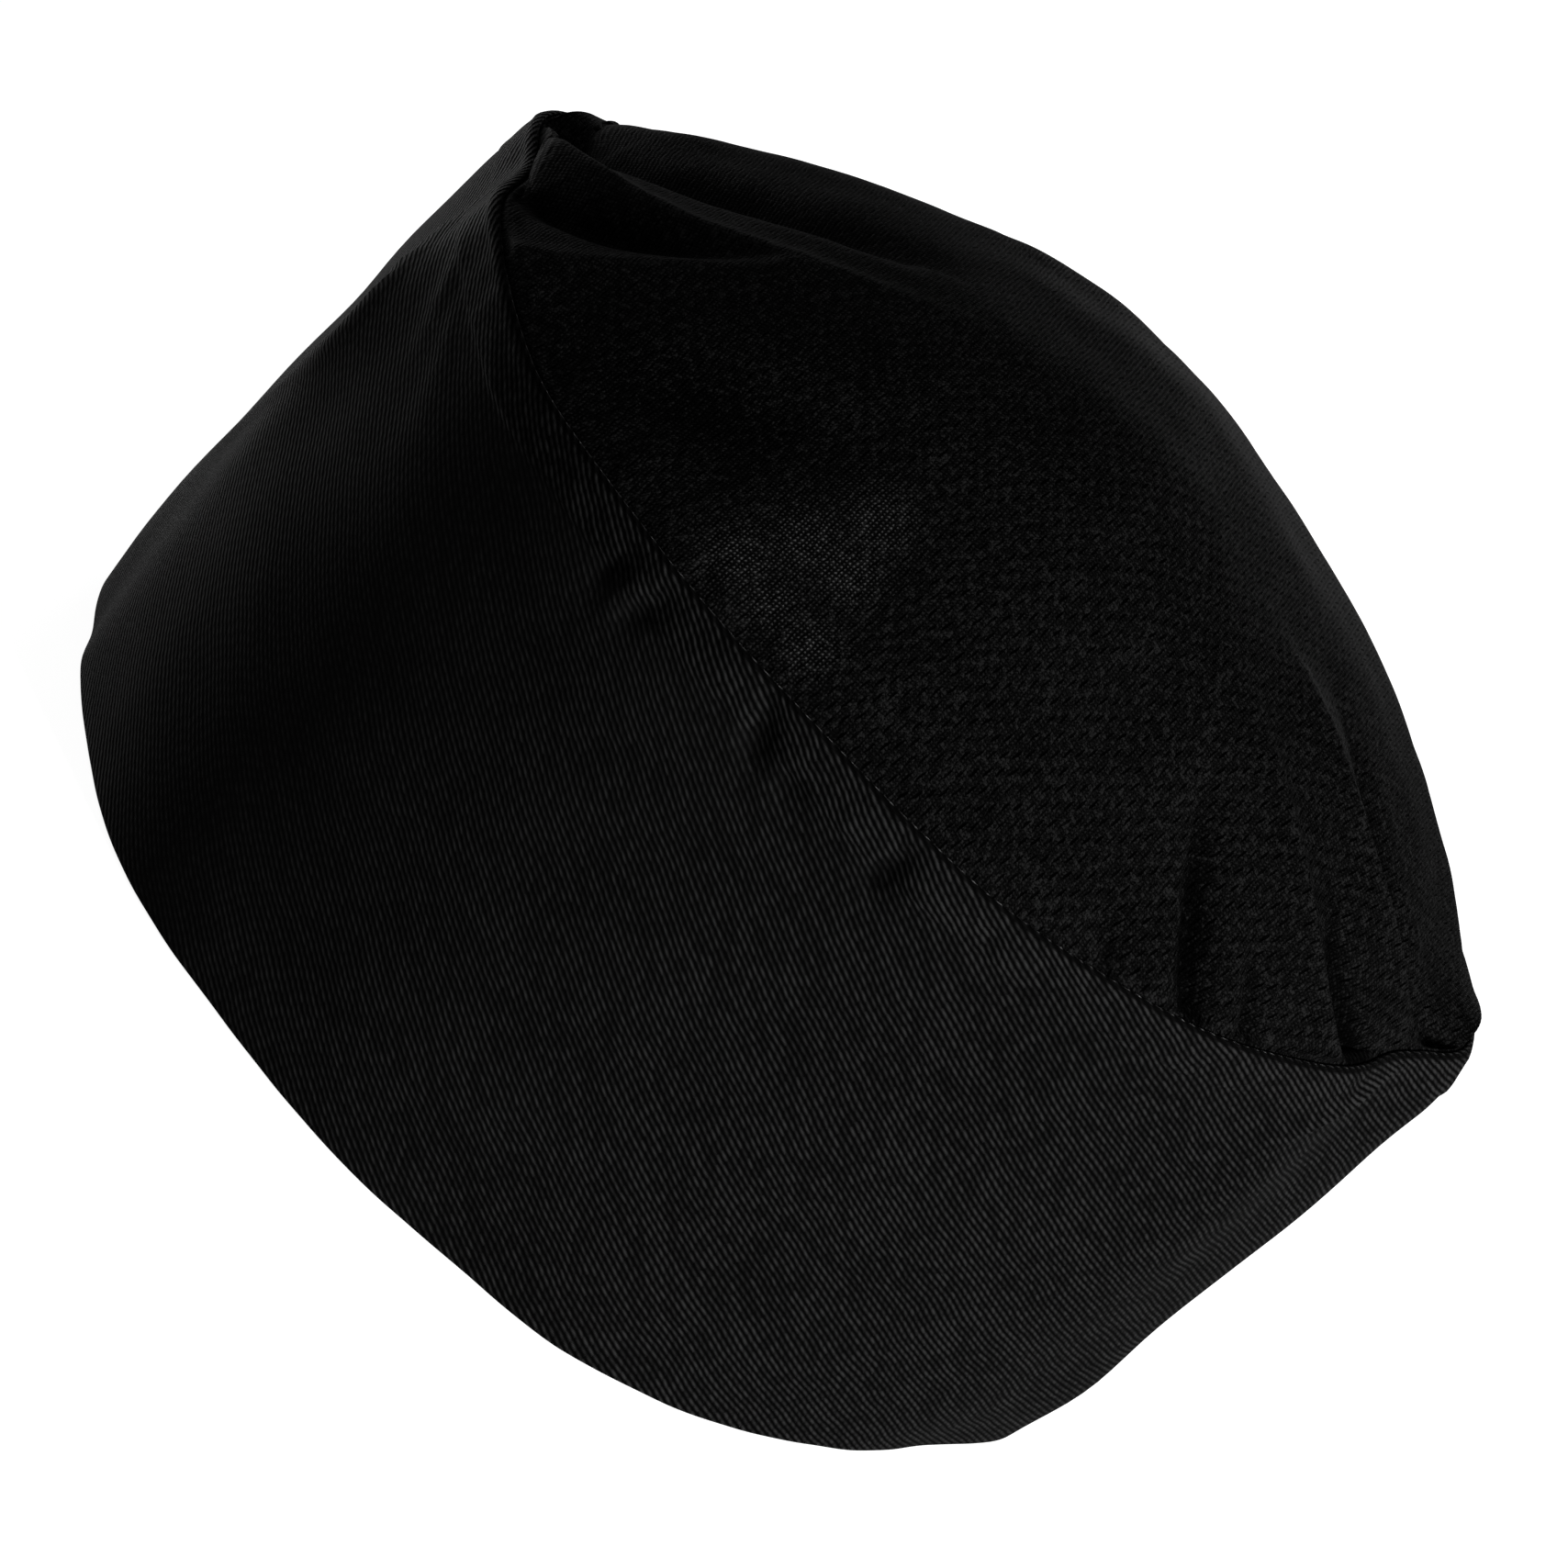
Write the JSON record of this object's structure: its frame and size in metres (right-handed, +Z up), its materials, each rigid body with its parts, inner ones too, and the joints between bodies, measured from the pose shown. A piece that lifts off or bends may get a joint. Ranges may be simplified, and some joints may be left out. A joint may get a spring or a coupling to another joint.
{
  "type": "cook's skull cap",
  "caption": "Black cook's skull cap: a double twill side band with a domed mesh-knit crown, gathered at its ends, standing on its open rim.",
  "frame": {"origin": "middle of the cap's box, on the flat lower edge of the band", "axes": "+Z up through the crown, +X from the forehead to the nape along the long axis, -Y is the side that the picture shows nearest"},
  "size_m": [0.2135, 0.1745, 0.1525],
  "materials": {
    "twill": "black polyester and cotton twill, fine diagonal wales, matt with a soft sheen at grazing angles",
    "mesh_knit": "black polyester air-mesh knit with rows of small staggered eyelets",
    "overlocked_edge": "black turned-in cloth edges bound with overlock thread"
  },
  "bodies": {
    "root": {"band": "twill", "crown": "mesh_knit", "seam_allowance": "overlocked_edge"}
  },
  "joints": []
}
